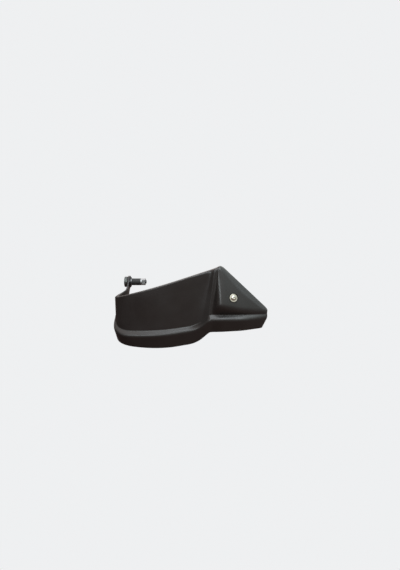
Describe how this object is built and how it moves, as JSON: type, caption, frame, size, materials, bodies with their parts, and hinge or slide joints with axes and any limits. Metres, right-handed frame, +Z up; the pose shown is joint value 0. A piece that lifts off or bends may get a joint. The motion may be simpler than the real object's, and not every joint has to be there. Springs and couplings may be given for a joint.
{
  "type": "motorcycle hand guard",
  "caption": "Moulded hand guard for the right side, with a ledge, a raised triangular bolted face, a bent bracket with a handlebar clamp, and an expander for the bar's end.",
  "frame": {"origin": "centre of the handlebar clamp's bore, on the bar's axis", "axes": "+X inboard along the bar, the shell faces -Y (forward on the motorcycle), +Z up"},
  "size_m": [0.3147, 0.1329, 0.1652],
  "materials": {
    "shell_plastic": "fine-grained black moulding",
    "stainless": "plain stainless",
    "stainless_washer": "turned stainless",
    "zinc_steel": "zinc plated",
    "rubber": "matt",
    "black_coat": "black powder coat on steel",
    "black_alloy": "black anodised",
    "black_steel": "black oxide",
    "end_cap_metal": "dark grey anodised",
    "bush_plastic": "plain nylon",
    "spacer_alloy": "turned"
  },
  "bodies": {
    "root": {"shell": "shell_plastic", "shell_bolt": "stainless", "shell_washer": "stainless_washer", "shell_sleeve": "zinc_steel", "shell_pad": "rubber", "shell_nut": "zinc_steel", "bracket": "black_coat", "pivot_bolt": "zinc_steel", "pivot_washer": "zinc_steel", "pivot_nut": "zinc_steel", "clamp_body": "black_alloy", "clamp_cap": "black_alloy", "clamp_screws": "black_steel", "clamp_washers": "zinc_steel", "end_cap": "end_cap_metal", "end_bolt": "black_steel", "ear_bush": "bush_plastic", "end_spacer": "spacer_alloy", "thrust_washer": "zinc_steel", "plug_rubber": "rubber", "plug_nut": "zinc_steel"}
  },
  "joints": []
}
